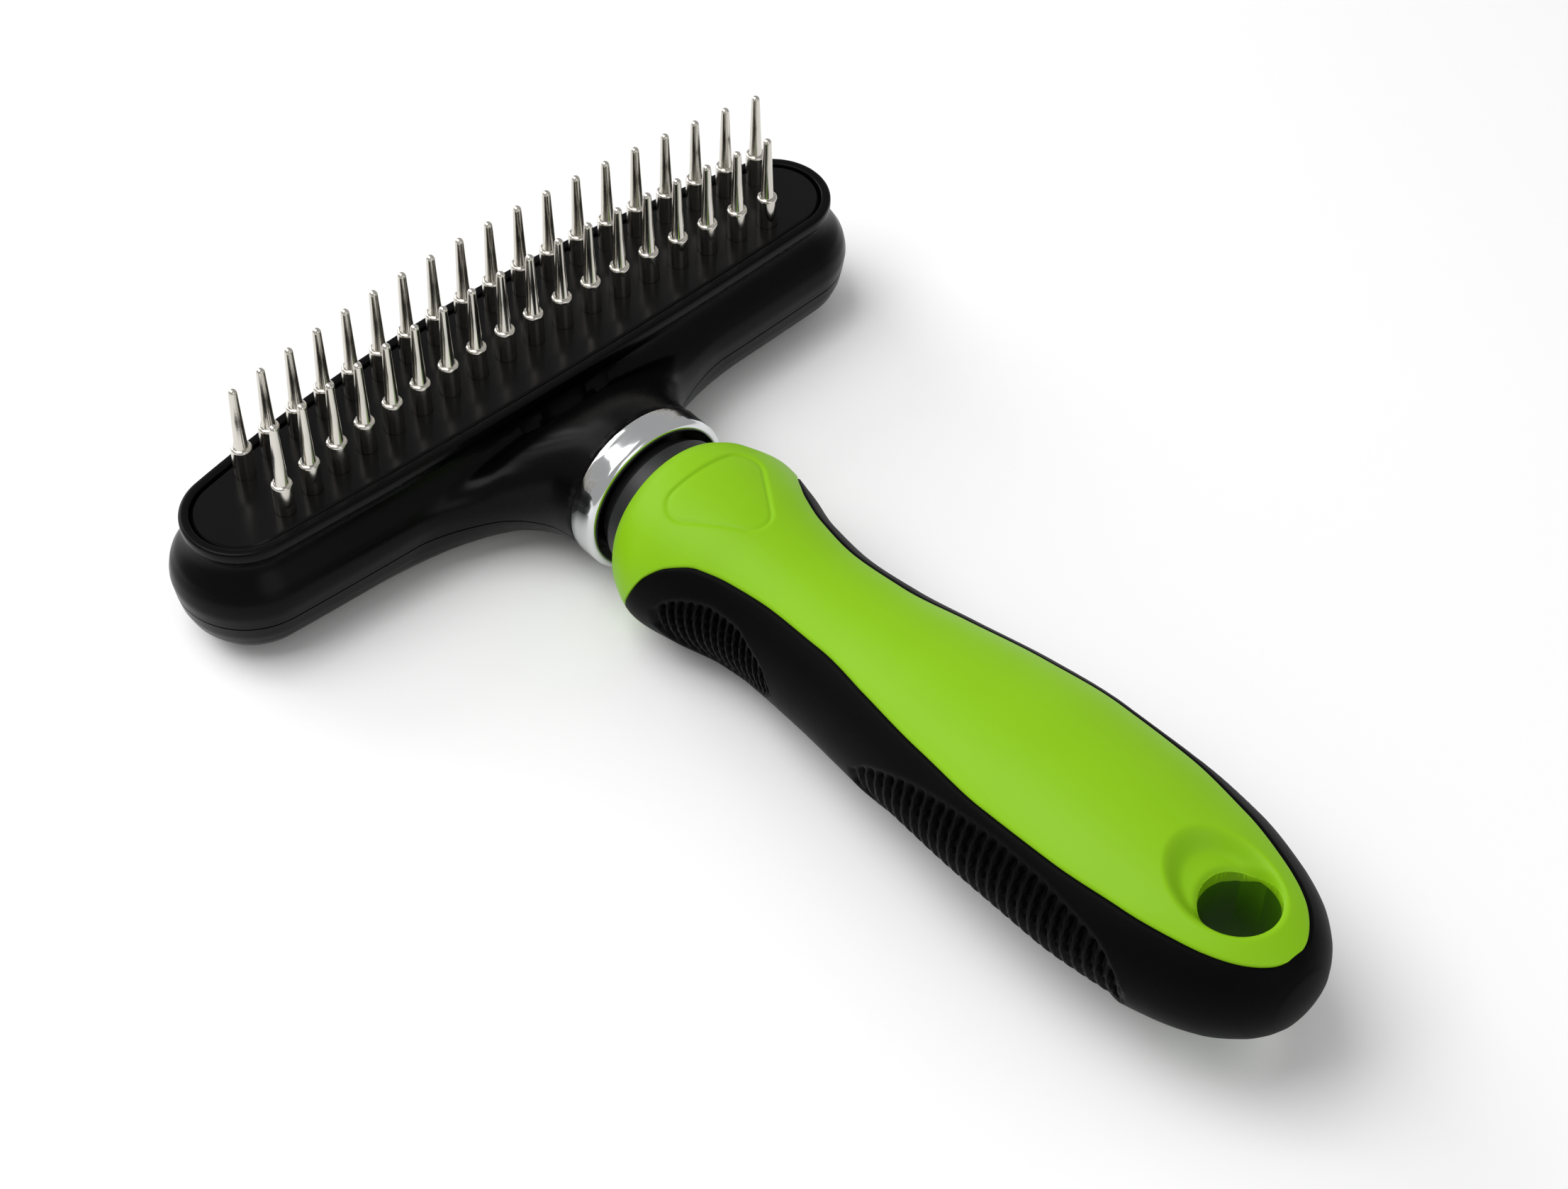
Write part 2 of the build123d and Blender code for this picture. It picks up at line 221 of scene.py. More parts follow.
def turned(
    name: str, profile: Sequence[tuple[float, float]], steps: int, along: Vector, centre: Vector
) -> bpy.types.Object:
    """Spin a profile of (radius, height) points round an axis.

    Args:
        name: the piece's name.
        profile: points in mm, from end to end; a closed ring repeats its first point.
        steps: facets round the axis.
        along: the axis, unit length.
        centre: where height 0 is, in mm.

    Returns:
        The closed, outward-facing piece.
    """
    side = Vector((1, 0, 0))
    rest_selection()
    bpy.ops.mesh.primitive_plane_add(size=1 * MM)
    obj = bpy.context.object
    points = [(centre + side * r + along * h) * MM for r, h in profile]
    obj.data.clear_geometry()
    obj.data.from_pydata(points, [(i, i + 1) for i in range(len(points) - 1)], [])
    bpy.ops.object.mode_set(mode="EDIT")
    bpy.ops.mesh.select_all(action="SELECT")
    bpy.ops.mesh.spin(steps=steps, angle=2 * math.pi, center=centre * MM, axis=along)
    bpy.ops.object.mode_set(mode="OBJECT")
    face_out(obj, 1e-6)
    return settle(obj, name)


def drum(radius: float, low: float, high: float, x: float, y: float) -> bpy.types.Object:
    """Add an upright cylinder as a cutter, in mm."""
    rest_selection()
    bpy.ops.mesh.primitive_cylinder_add(
        vertices=96, radius=radius * MM, depth=(high - low) * MM,
        location=(x * MM, y * MM, (low + high) / 2 * MM),
    )
    return settle(bpy.context.object, "cutter")


def block(low: tuple[float, float, float], high: tuple[float, float, float]) -> bpy.types.Object:
    """Add a box as a cutter, in mm."""
    rest_selection()
    middle = [(a + b) / 2 * MM for a, b in zip(low, high)]
    bpy.ops.mesh.primitive_cube_add(size=1, location=middle)
    bpy.context.object.scale = [(b - a) * MM for a, b in zip(low, high)]
    return settle(bpy.context.object, "cutter")


# ---- finishes ---------------------------------------------------------------
def linear(code: str) -> tuple[float, float, float, float]:
    """Turn an sRGB hex colour into linear RGBA."""
    parts = [int(code[i:i + 2], 16) / 255 for i in (1, 3, 5)]
    return (*[c / 12.92 if c <= 0.04045 else ((c + 0.055) / 1.055) ** 2.4 for c in parts], 1.0)


def place_node(
    tree: bpy.types.NodeTree, kind: str, settings: dict | None = None, links: dict | None = None
) -> bpy.types.Node:
    """Add a node with its settings, input values and links.

    Args:
        tree: the node tree.
        kind: the node's type name.
        settings: properties by name; a name of an input socket sets its value.
        links: the output socket to join to each input socket's name.

    Returns:
        The new node.
    """
    node = tree.nodes.new(kind)
    for name, value in (settings or {}).items():
        if name in node.inputs:
            node.inputs[name].default_value = value
        else:
            setattr(node, name, value)
    for name, socket in (links or {}).items():
        tree.links.new(socket, node.inputs[name])
    return node


@dataclass(frozen=True)
class Finish:
    """A surface: the stuff, how it was made, and what that gives the eye."""

    name: str
    colour: str
    deep_colour: str
    roughness: float
    roughness_spread: float
    metallic: float = 0.0
    ior: float = 1.5
    specular: float = 0.5
    grain_mm: float = 0.5
    bump_mm: float = 0.01
    blotch_mm: float = 20.0
    brushed_along: tuple[float, float, float] = (1.0, 1.0, 1.0)

    def make(self) -> bpy.types.Material:
        """Build the material's nodes.

        Returns:
            The material, patterned on Object coordinates.
        """
        material = bpy.data.materials.new(self.name)
        material.use_nodes = True
        tree = material.node_tree
        tree.nodes.clear()
        spot = place_node(tree, "ShaderNodeTexCoord")
        spread = place_node(
            tree, "ShaderNodeMapping", {"Scale": self.brushed_along},
            {"Vector": spot.outputs["Object"]},
        )
        grain = place_node(
            tree, "ShaderNodeTexNoise",
            {"Scale": 1.0 / (self.grain_mm * MM), "Detail": 3.0, "Roughness": 0.6},
            {"Vector": spread.outputs["Vector"]},
        )
        blotch = place_node(
            tree, "ShaderNodeTexNoise",
            {"Scale": 1.0 / (self.blotch_mm * MM), "Detail": 4.0, "Roughness": 0.55},
            {"Vector": spot.outputs["Object"]},
        )
        tint = place_node(
            tree, "ShaderNodeMix",
            {"data_type": "RGBA"}, {"Factor": blotch.outputs["Fac"]},
        )
        tint.inputs[6].default_value = linear(self.deep_colour)
        tint.inputs[7].default_value = linear(self.colour)
        gloss = place_node(
            tree, "ShaderNodeMapRange",
            {
                "From Min": 0.3, "From Max": 0.7,
                "To Min": self.roughness - self.roughness_spread,
                "To Max": self.roughness + self.roughness_spread,
            },
            {"Value": blotch.outputs["Fac"]},
        )
        bump = place_node(
            tree, "ShaderNodeBump",
            {"Distance": self.bump_mm * MM},
            {"Height": grain.outputs["Fac"]},
        )
        shader = place_node(
            tree, "ShaderNodeBsdfPrincipled",
            {
                "Metallic": self.metallic, "IOR": self.ior,
                "Specular IOR Level": self.specular,
            },
            {
                "Base Color": tint.outputs[2],
                "Roughness": gloss.outputs["Result"],
                "Normal": bump.outputs["Normal"],
            },
        )
        place_node(
            tree, "ShaderNodeOutputMaterial", {}, {"Surface": shader.outputs["BSDF"]}
        )
        return material


# Moulded ABS from a finely spark-eroded die: deep black with broad soft highlights.
SATIN_ABS = Finish(
    "black_abs_moulded_satin", "#050506", "#040405", 0.28, 0.04,
    ior=1.54, specular=0.08, grain_mm=0.35, bump_mm=0.006, blotch_mm=14.0,
)
# The pin plate is the same ABS from a polished die, so the pins mirror in it.
POLISHED_ABS = Finish(
    "black_abs_moulded_polished", "#060607", "#040405", 0.2, 0.04,
    ior=1.54, specular=0.14, grain_mm=0.6, bump_mm=0.003, blotch_mm=11.0,
)
# Plain polypropylene, never polished: dull black on the inner pieces.
PLAIN_PP = Finish(
    "black_polypropylene_moulded", "#1A1A1C", "#131315", 0.45, 0.05,
    ior=1.49, grain_mm=0.5, bump_mm=0.006, blotch_mm=9.0,
)
# Overmoulded TPR with a spark-eroded grain: soft charcoal black, no clear reflections.
GRIP_RUBBER = Finish(
    "black_tpr_overmoulded_matte", "#050506", "#040405", 0.5, 0.05,
    ior=1.5, specular=0.045, grain_mm=0.22, bump_mm=0.012, blotch_mm=18.0,
)
# The dyed TPR inlay from a smoother die: lively lime green with a satin bloom.
LIME_RUBBER = Finish(
    "lime_tpr_overmoulded_satin", "#8AC115", "#82B911", 0.42, 0.05,
    ior=1.5, specular=0.16, grain_mm=0.28, bump_mm=0.006, blotch_mm=26.0,
)
# The inlay's TPR inside the hole, over the black core. Its darker green is painted shade:
# it is drawn darker than the inlay, because little light gets down the hole.
LIME_RUBBER_PAINTED_HOLE_SHADE = Finish(
    "lime_tpr_painted_hole_shade", "#3E6A0A", "#375F08", 0.5, 0.05,
    ior=1.5, specular=0.1, grain_mm=0.28, bump_mm=0.006, blotch_mm=26.0,
)
# Barrel-polished nickel on turned steel: warm bright metal, faint turning rings.
NICKEL = Finish(
    "nickel_plated_turned_steel", "#D8D4CC", "#C6C2BA", 0.16, 0.05,
    metallic=1.0, grain_mm=0.9, bump_mm=0.004, blotch_mm=5.0,
    brushed_along=(0.3, 0.3, 6.0),
)
# Decorative chrome over polished brass: neutral mirror with a slight haze.
CHROME = Finish(
    "chrome_plated_ring", "#DCDDDE", "#CFD0D1", 0.12, 0.04,
    metallic=1.0, grain_mm=1.4, bump_mm=0.003, blotch_mm=8.0,
    brushed_along=(0.4, 5.0, 0.4),
)
# Zinc-plated steel screws: grey, a little cloudy.
ZINC = Finish(
    "zinc_plated_steel", "#A9AAA6", "#8F918D", 0.32, 0.06,
    metallic=1.0, grain_mm=0.4, bump_mm=0.006, blotch_mm=3.0,
)


class Slot(Enum):
    """Names of material slots."""

    ABS = "black_abs"
    INNER = "inner_plastic"
    BLACK_GRIP = "black_rubber"
    GREEN_GRIP = "green_rubber"
    PIN = "pin_nickel"
    FERRULE = "ferrule_chrome"
    SCREW = "screw_steel"


def dress(obj: bpy.types.Object, material: bpy.types.Material) -> None:
    """Give a piece one material all over."""
    obj.data.materials.clear()
    obj.data.materials.append(material)


def join_body(
    obj: bpy.types.Object, body: str, slot: Slot, material: bpy.types.Material, *nodes: str
) -> None:
    """Dress a new piece, let it ride, and let it stand for its CAD nodes."""
    dress(obj, material)
    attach(obj, body)
    if nodes:
        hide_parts(*nodes)
    log.info("%s: %d faces, stands for %s", obj.name, len(obj.data.polygons), nodes)


# ---- head -------------------------------------------------------------------
@dataclass
class Outline:
    """The rim in plan: a far arc, a near arc and an arc round each end."""

    far: float = 12.8
    near: float = 10.0
    far_radius: float = 235.0
    near_radius: float = 1000.0
    end_radius: float = 8.4

    def __post_init__(self) -> None:
        """Find the centre of the end arc, which touches the other two."""
        self.far_y = self.far - self.far_radius
        self.near_y = self.near_radius - self.near
        to_far = self.far_radius - self.end_radius
        to_near = self.near_radius - self.end_radius
        top = self.far_y**2 - self.near_y**2 - to_far**2 + to_near**2
        self.end_y = top / (2 * (self.far_y - self.near_y))
        self.end_x = math.sqrt(to_far**2 - (self.end_y - self.far_y) ** 2)

    def away(self, x: np.ndarray, y: np.ndarray) -> np.ndarray:
        """Distance outside the rim; y is measured from the head line."""
        across = np.abs(x)
        to_end = np.hypot(across - self.end_x, y - self.end_y)
        far_side = across * (self.end_y - self.far_y) - (y - self.far_y) * self.end_x
        near_side = across * (self.near_y - self.end_y) - (self.near_y - y) * self.end_x
        result = np.where(
            y > self.end_y,
            np.hypot(across, y - self.far_y) - self.far_radius,
            np.hypot(across, y - self.near_y) - self.near_radius,
        )
        in_end = np.where(y > self.end_y, far_side > 0, near_side > 0)
        return np.where(in_end, to_end - self.end_radius, result)

    def loop(self, grow: float, count: int = 480) -> np.ndarray:
        """Points evenly round the outline, offset outwards, anticlockwise from above."""
        far_turn = math.atan2(self.end_x, self.end_y - self.far_y)
        near_turn = math.atan2(self.end_x, self.near_y - self.end_y)
        spans = [
            (self.far_radius + grow) * far_turn,
            (self.end_radius + grow) * (math.pi - far_turn - near_turn),
            (self.near_radius + grow) * near_turn,
        ]
        half = sum(spans)
        points = []
        for i in range(count):
            run = 2 * half * i / count
            side = 1.0 if run <= half else -1.0
            run = run if side > 0 else 2 * half - run
            if run < spans[0]:
                turn = run / (self.far_radius + grow)
                radius, cx, cy = self.far_radius + grow, 0.0, self.far_y
            elif run < spans[0] + spans[1]:
                turn = far_turn + (run - spans[0]) / (self.end_radius + grow)
                radius, cx, cy = self.end_radius + grow, self.end_x, self.end_y
            else:
                turn = math.pi - (half - run) / (self.near_radius + grow)
                radius, cx, cy = self.near_radius + grow, 0.0, self.near_y
            points.append((side * (cx + radius * math.sin(turn)), cy + radius * math.cos(turn)))
        return np.array(points)[::-1]


@dataclass
class Head:
    """The two shells of the head, with the neck, and the pin plate's dress."""

    outline: Outline
    seam_z: float = 8.2
    seam_gap: float = 0.12
    blend: float = 5.0
    voxel: float = 0.5
    screw_r: float = 2.7
    screw_depth: float = 2.9
    screw_places: tuple[tuple[float, float], ...] = ((-30.0, 2.05), (30.0, 2.05), (0.0, -21.2))

    # Offset from the rim and height, from the flat back up to under the rim.
    side: tuple[tuple[float, float], ...] = (
        (-5.9, 0.0), (-4.6, 0.1), (-3.1, 0.55), (-1.6, 1.35), (-0.2, 2.6),
        (0.95, 4.2), (1.7, 6.1), (2.1, 8.2), (2.4, 10.5), (2.05, 12.4),
        (1.2, 13.9), (0.1, 15.2), (-0.6, 16.2), (-0.85, 17.0), (-1.1, 17.3),
        (-1.1, 20.05),
    )
    # Behind the head line: half width, top and bottom of the neck.
    neck: tuple[tuple[float, float, float, float], ...] = (
        (4.0, 30.0, 10.5, 2.0), (8.5, 27.5, 12.2, 1.2), (10.6, 24.5, 14.9, 0.8),
        (12.0, 22.3, 17.0, 0.6), (13.2, 20.2, 18.3, 0.5), (15.6, 16.4, 20.2, 0.5),
        (18.5, 13.7, 22.1, 0.6), (21.5, 12.2, 23.4, 0.8), (25.3, 11.55, 24.05, 0.95),
    )

    def depth(self, x: np.ndarray, y: np.ndarray, z: np.ndarray) -> np.ndarray:
        """Roughly how far a point is outside the head and neck, in mm."""
        away = self.outline.away(x, y)
        head = polygon_gap(away, z, [(-60.0, 0.0), *self.side, (-60.0, 20.05)])
        back = np.clip(-y, 4.0, 25.3)
        half = eased(self.neck, 1, back)
        top, bottom = eased(self.neck, 2, back), eased(self.neck, 3, back)
        high = (top - bottom) / 2
        lift = z - (top + bottom) / 2
        ratio = np.sqrt((x / half) ** 2 + (lift / high) ** 2) + 1e-9
        steep = np.sqrt((x / half**2) ** 2 + (lift / high**2) ** 2) + 1e-9
        tube = ratio * (ratio - 1) / steep
        neck = np.maximum(np.maximum(tube, -y - 25.2), y + 5.0)
        blend = self.blend - (self.blend - 2.6) * smooth_step(11.0, 15.5, z)
        mix = np.clip(blend - np.abs(head - neck), 0, None) / blend
        return np.minimum(head, neck) - mix * mix * blend / 4

    def draw_onto(self, obj: bpy.types.Object, rounds: int) -> None:
        """Relax a mesh and pull it onto the head's exact surface, turn by turn."""
        mesh = obj.data
        count = len(mesh.vertices)
        spots = np.empty(count * 3)
        mesh.vertices.foreach_get("co", spots)
        spots = spots.reshape(-1, 3) / MM
        edges = np.empty(len(mesh.edges) * 2, int)
        mesh.edges.foreach_get("vertices", edges)
        edges = edges.reshape(-1, 2)
        ties = np.bincount(edges.ravel(), minlength=count)[:, None]
        for turn in range(rounds):
            if turn < rounds - 2:
                total = np.zeros_like(spots)
                np.add.at(total, edges[:, 0], spots[edges[:, 1]])
                np.add.at(total, edges[:, 1], spots[edges[:, 0]])
                spots += 0.5 * (total / ties - spots)
            x, y, z = spots[:, 0], spots[:, 1] - HEAD_LINE, spots[:, 2]
            here = self.depth(x, y, z)
            e = 0.02
            slope = np.stack(
                [
                    self.depth(x + e, y, z) - self.depth(x - e, y, z),
                    self.depth(x, y + e, z) - self.depth(x, y - e, z),
                    self.depth(x, y, z + e) - self.depth(x, y, z - e),
                ],
                axis=1,
            ) / (2 * e)
            size = np.maximum((slope**2).sum(1), 0.2)
            step = np.clip(here / size, -1.5, 1.5)
            spots -= slope * step[:, None]
        spots[:, 2] = np.maximum(spots[:, 2], 0.0)
        mesh.vertices.foreach_set("co", (spots * MM).ravel())
        mesh.update()

    def slab(self, grow: float, low: float, high: float) -> bpy.types.Object:
        """Raise the outline into a closed slab: a filled circle, shaped and extruded."""
        ring = self.outline.loop(grow, 360)
        rest_selection()
        bpy.ops.mesh.primitive_circle_add(vertices=360, radius=MM, fill_type="NGON")
        obj = bpy.context.object
        points = np.column_stack([ring[:, 0], ring[:, 1] + HEAD_LINE, np.full(360, low)])
        obj.data.vertices.foreach_set("co", (points * MM).ravel())
        obj.data.update()
        bpy.ops.object.mode_set(mode="EDIT")
        bpy.ops.mesh.select_all(action="SELECT")
        bpy.ops.mesh.extrude_region_move(
            TRANSFORM_OT_translate={"value": (0, 0, (high - low) * MM)}
        )
        bpy.ops.object.mode_set(mode="OBJECT")
        face_out(obj)
        return settle(obj, "cutter")

    def neck_form(self) -> bpy.types.Object:
        """Weave the neck's ellipses into a closed tube that starts the neck's mesh."""
        turn = np.linspace(0, 2 * math.pi, 65)[:-1]
        rings = []
        for back in np.linspace(2.0, 25.0, 47):
            half, top, bottom = (eased(self.neck, k, np.array([max(back, 4.0)])) for k in (1, 2, 3))
            rings.append(
                np.column_stack(
                    [
                        (half - 0.4) * np.cos(turn),
                        np.full(64, HEAD_LINE - back),
                        (top + bottom) / 2 + ((top - bottom) / 2 - 0.4) * np.sin(turn),
                    ]
                )
            )
        tube = woven("neck_form", np.array(rings), True)
        face_out(tube)
        bpy.ops.object.mode_set(mode="EDIT")
        bpy.ops.mesh.select_all(action="SELECT")
        bpy.ops.mesh.fill_holes(sides=0)
        bpy.ops.mesh.normals_make_consistent(inside=False)
        bpy.ops.object.mode_set(mode="OBJECT")
        return tube

    def body(self) -> bpy.types.Object:
        """Model the head and neck as one closed form.

        Returns:
            A slab and a tube, remeshed together and drawn onto the exact surface.
        """
        slab = self.slab(1.0, 0.1, 20.0)
        neck = self.neck_form()
        take(slab)
        neck.select_set(True)
        bpy.ops.object.join()
        modify(slab, "REMESH", mode="VOXEL", voxel_size=self.voxel * MM)
        self.draw_onto(slab, 14)
        return slab

    def rim_band(self) -> bpy.types.Object:
        """Loft the crisp rim with the cove under it, as a closed ring."""
        profile = [
            (-0.86, 16.3), (-0.84, 16.8), (-0.8, 17.25), (-0.66, 17.8), (-0.42, 18.25),
            (-0.15, 18.6), (-0.02, 18.85), (0.0, 19.1), (0.0, 19.5), (0.0, 19.88),
            (-0.05, 20.06), (-0.16, 20.2), (-0.32, 20.28), (-0.5, 20.3), (-0.95, 20.3),
            (-1.2, 20.28), (-1.33, 20.2), (-1.4, 20.05), (-1.4, 19.4), (-1.4, 17.2),
            (-1.4, 16.3),
        ]
        rings = []
        for grow, z in profile:
            ring = self.outline.loop(grow)
            rings.append(np.column_stack([ring[:, 0], ring[:, 1] + HEAD_LINE, np.full(480, z)]))
        rings.append(rings[0])
        band = woven("rim_band", np.array(rings), True)
        face_out(band)
        return band

    def split(self, form: bpy.types.Object, low: float, high: float) -> bpy.types.Object:
        """Keep the part of the form between two heights, as its own piece."""
        take(form)
        bpy.ops.object.duplicate()
        half = bpy.context.object
        carve(half, block((-70, -20, low), (70, 100, high)), "INTERSECT")
        return half

    def build(self, finish: bpy.types.Material, plate: bpy.types.Material) -> None:
        """Build both shells and dress the plate."""
        form = self.body()
        upper = self.split(form, self.seam_z + self.seam_gap, 30.0)
        lower = self.split(form, -5.0, self.seam_z - self.seam_gap)
        bpy.data.objects.remove(form)
        carve(upper, self.slab(-2.9, 2.2, 18.0))
        carve(upper, self.slab(-1.25, 17.1, 25.0))
        carve(lower, self.slab(-2.9, 2.2, 18.0))
        for x, y in self.screw_places:
            carve(lower, drum(self.screw_r, -1.0, self.screw_depth, x, HEAD_LINE + y))
        band = self.rim_band()
        take(upper)
        band.select_set(True)
        bpy.ops.object.join()
        for piece, name in ((upper, "head_upper_shell"), (lower, "head_lower_shell")):
            settle(piece, name)
            smooth(piece, 58.0)
        join_body(upper, ROOT_BODY, Slot.ABS, finish, "upper_shell")
        join_body(lower, ROOT_BODY, Slot.ABS, finish, "lower_shell")
        dress(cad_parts["pin_plate"], plate)


# ---- pins -------------------------------------------------------------------
@dataclass
class Pins:
    """The 37 turned pins, each in its own body."""

    base_r: float = 1.45
    shaft_r: float = 0.92
    tip_r: float = 0.60
    foot_z: float = 17.2
    flange_r: float = 1.95
    shoulder_z: float = 25.2
    tip_z: float = 35.5

    def profile(self) -> list[tuple[float, float]]:
        """The lathe profile, from the foot's middle to the tip's."""
        points = [
            (0.0, self.foot_z), (self.flange_r, self.foot_z),
            (self.flange_r, self.foot_z + 1.0), (self.base_r, self.foot_z + 1.0),
            (self.base_r, 20.3), (self.base_r, self.shoulder_z - 0.45),
        ]
        for i in range(1, 7):
            turn = math.radians(90 * i / 6)
            points.append(
                (
                    self.base_r - 0.4 * (1 - math.cos(turn)),
                    self.shoulder_z - 0.4 + 0.4 * math.sin(turn),
                )
            )
        points += [
            (self.shaft_r + 0.05, self.shoulder_z), (self.shaft_r, self.shoulder_z + 0.08),
            ((self.shaft_r + self.tip_r) / 2, (self.shoulder_z + self.tip_z) / 2),
            (self.tip_r, self.tip_z - self.tip_r),
        ]
        for i in range(1, 9):
            turn = math.radians(90 * i / 8)
            points.append(
                (
                    self.tip_r * math.cos(turn) if i < 8 else 0.0,
                    self.tip_z - self.tip_r + self.tip_r * math.sin(turn),
                )
            )
        return points

    def build(self, finish: bpy.types.Material) -> None:
        """Turn one pin and copy it to every place."""
        up = Vector((0, 0, 1))
        first = turned("pin", self.profile(), 40, up, Vector((0, 0, 0)))
        smooth(first, 35.0)
        for node in sorted(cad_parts):
            if not node.startswith(("pin_back_", "pin_front_")):
                continue
            low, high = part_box(node)
            take(first)
            bpy.ops.object.duplicate()
            pin = bpy.context.object
            pin.location = ((low.x + high.x) / 2, (low.y + high.y) / 2, 0)
            settle(pin, "turned_" + node)
            join_body(pin, node + "_body", Slot.PIN, finish, node)
        bpy.data.objects.remove(first)


# ---- ferrule ----------------------------------------------------------------
@dataclass
class Ferrule:
    """The bright ring between the neck and the handle."""

    outer_r: float = 11.85
    inner_r: float = 10.6
    front_y: float = 25.2
    length: float = 4.2

    def build(self, finish: bpy.types.Material) -> None:
        """Spin the ring's section with its rolled edges."""
        end = self.length
        profile = [
            (self.inner_r, 0.0), (self.outer_r - 0.3, 0.0), (self.outer_r - 0.09, 0.09),
            (self.outer_r, 0.3), (self.outer_r, 1.2), (self.outer_r, 2.3),
            (self.outer_r, end - 0.95),
            (self.outer_r - 0.05, end - 0.68), (self.outer_r - 0.18, end - 0.42),
            (self.outer_r - 0.38, end - 0.2), (self.outer_r - 0.62, end - 0.06),
            (self.outer_r - 0.85, end), (self.inner_r + 0.2, end),
            (self.inner_r + 0.06, end - 0.06), (self.inner_r, end - 0.2),
            (self.inner_r, 0.0),
        ]
        centre = Vector((0, HEAD_LINE - self.front_y, AXIS_Z))
        ring = turned("ferrule_ring", profile, 160, Vector((0, -1, 0)), centre)
        smooth(ring, 40.0)
        join_body(ring, ROOT_BODY, Slot.FERRULE, finish, "ferrule")


# ---- grip -------------------------------------------------------------------
@dataclass
class Grip:
    """The soft green inlay and the black side grips, on one shared form."""

    # Behind the head line: half width, half height and rise of the centre.
    form: tuple[tuple[float, float, float, float], ...] = (
        (33.0, 11.0, 11.0, 0.0), (35.6, 13.2, 12.1, 0.0), (40.5, 14.9, 12.4, 0.0),
        (46.0, 13.9, 12.1, 0.0), (53.0, 12.1, 11.2, 0.0), (60.5, 11.5, 10.6, 0.1),
        (69.0, 12.1, 10.6, 0.7), (79.0, 13.4, 11.0, 1.9), (91.0, 15.1, 11.5, 3.3),
        (103.0, 16.1, 11.8, 4.3), (115.0, 16.3, 11.8, 4.6), (125.0, 15.4, 11.3, 4.6),
        (132.5, 13.6, 10.4, 4.6), (138.0, 11.3, 9.2, 4.7), (142.0, 8.3, 7.2, 4.8),
        (143.6, 6.4, 5.8, 4.8), (144.6, 4.75, 4.4, 4.8),
    )
    # Behind the head line: height of the line where green meets black.
    edge: tuple[tuple[float, float], ...] = (
        (36.9, -0.5), (37.15, 1.2), (37.5, 4.4), (38.3, 7.4), (40.3, 12.2),
        (42.6, 17.2), (45.0, 19.4), (48.5, 20.6), (60.0, 20.8), (77.0, 22.3),
        (99.0, 24.3), (121.5, 25.2), (137.7, 24.5), (142.6, 23.9),
    )
    front: float = 33.0
    tail: float = 145.5
    green_start: float = 36.9
    green_end: float = 142.6
    thick: float = 2.0
    hole_y: float = 133.8
    hole_r: float = 5.0
    lining_lift: float = 0.12
    lining_drop: float = 0.9

    def ring(self, along: np.ndarray) -> tuple[np.ndarray, np.ndarray, np.ndarray]:
        """Half width, half height and centre height at places along the grip."""
        last = self.form[-1]
        inner = np.minimum(along, last[0])
        shrink = np.sqrt(np.clip((self.tail - along) / (self.tail - last[0]), 0, 1))
        shrink = np.where(along > last[0], shrink, 1.0)
        roll = np.sqrt(np.clip(1 - ((self.front + 0.7 - along) / 0.7).clip(0, 1) ** 2, 0, 1))
        roll = 1 - 0.045 * (1 - roll)
        return (
            eased(self.form, 1, inner) * shrink * roll,
            eased(self.form, 2, inner) * shrink * roll,
            AXIS_Z + eased(self.form, 3, inner),
        )

    def edge_turn(self, along: np.ndarray) -> np.ndarray:
        """Angle up from level, in radians, at which green meets black."""
        _, high, centre = self.ring(along)
        height = eased(self.edge, 1, along)
        share = np.clip((height - centre) / np.maximum(high, 1e-6), -1, 1)
        turn = np.arcsin(share)
        turn = np.where(along <= self.green_start, -math.pi / 2, turn)
        return np.where(along >= self.green_end, math.pi / 2, turn)

    def surface(self, along: np.ndarray, turn: np.ndarray) -> np.ndarray:
        """Points of the plain form, in mm, for a grid of places and angles."""
        wide, high, centre = self.ring(along)
        return np.stack(
            [
                wide[:, None] * np.cos(turn),
                np.broadcast_to((HEAD_LINE - along)[:, None], turn.shape),
                centre[:, None] + high[:, None] * np.sin(turn),
            ],
            axis=-1,
        )

    def outward(self, places: np.ndarray) -> np.ndarray:
        """Unit normals of a grid of points, away from the grip's middle."""
        down = np.gradient(places, axis=0)
        across = np.gradient(places, axis=1)
        normal = np.cross(down, across)
        size = np.linalg.norm(normal, axis=-1, keepdims=True)
        normal = normal / np.maximum(size, 1e-9)
        middle = places.mean(axis=1, keepdims=True)
        middle[..., 2] = AXIS_Z + 2.0
        flip = np.sign((normal * (places - middle)).sum(-1, keepdims=True))
        return normal * np.where(flip == 0, 1, flip)

    def columns(self, count: int) -> np.ndarray:
        """Shares from 0 to 1 that crowd towards both edges."""
        even = np.linspace(0, 1, count)
        return 0.72 * even + 0.28 * (1 - np.cos(math.pi * even)) / 2

    def thumb_pad(self, places: np.ndarray) -> np.ndarray:
        """How deep the pick-shaped thumb pad is pressed in, in mm."""
        x, y = places[..., 0], places[..., 1] - HEAD_LINE
        outside = polygon_gap(x, y, [(-4.6, -41.2), (4.6, -41.2), (0.0, -47.9)]) - 3.0
        top = places[..., 2] > AXIS_Z
        pressed = 0.22 * smooth_step(0.28, -0.28, outside)
        line = 0.16 * np.exp(-((outside / 0.3) ** 2))
        return np.where(top, pressed + line, 0.0)

    def dish(self, places: np.ndarray) -> np.ndarray:
        """How deep the oval dish round the hole is, in mm, measured downwards."""
        x = places[..., 0]
        y = HEAD_LINE - places[..., 1]
        reach = np.hypot(x / 6.7, (y - 131.2) / 8.2)
        fade = smooth_step(139.0, 133.0, y)
        depth = 2.3 * smooth_step(1.02, 0.62, reach) * fade
        lip = np.hypot(x, y - self.hole_y)
        rounding = 0.55 * np.clip(1 - (lip - self.hole_r) / 0.9, 0, 1) ** 2
        return np.where(places[..., 2] > AXIS_Z, depth + rounding, 0.0)

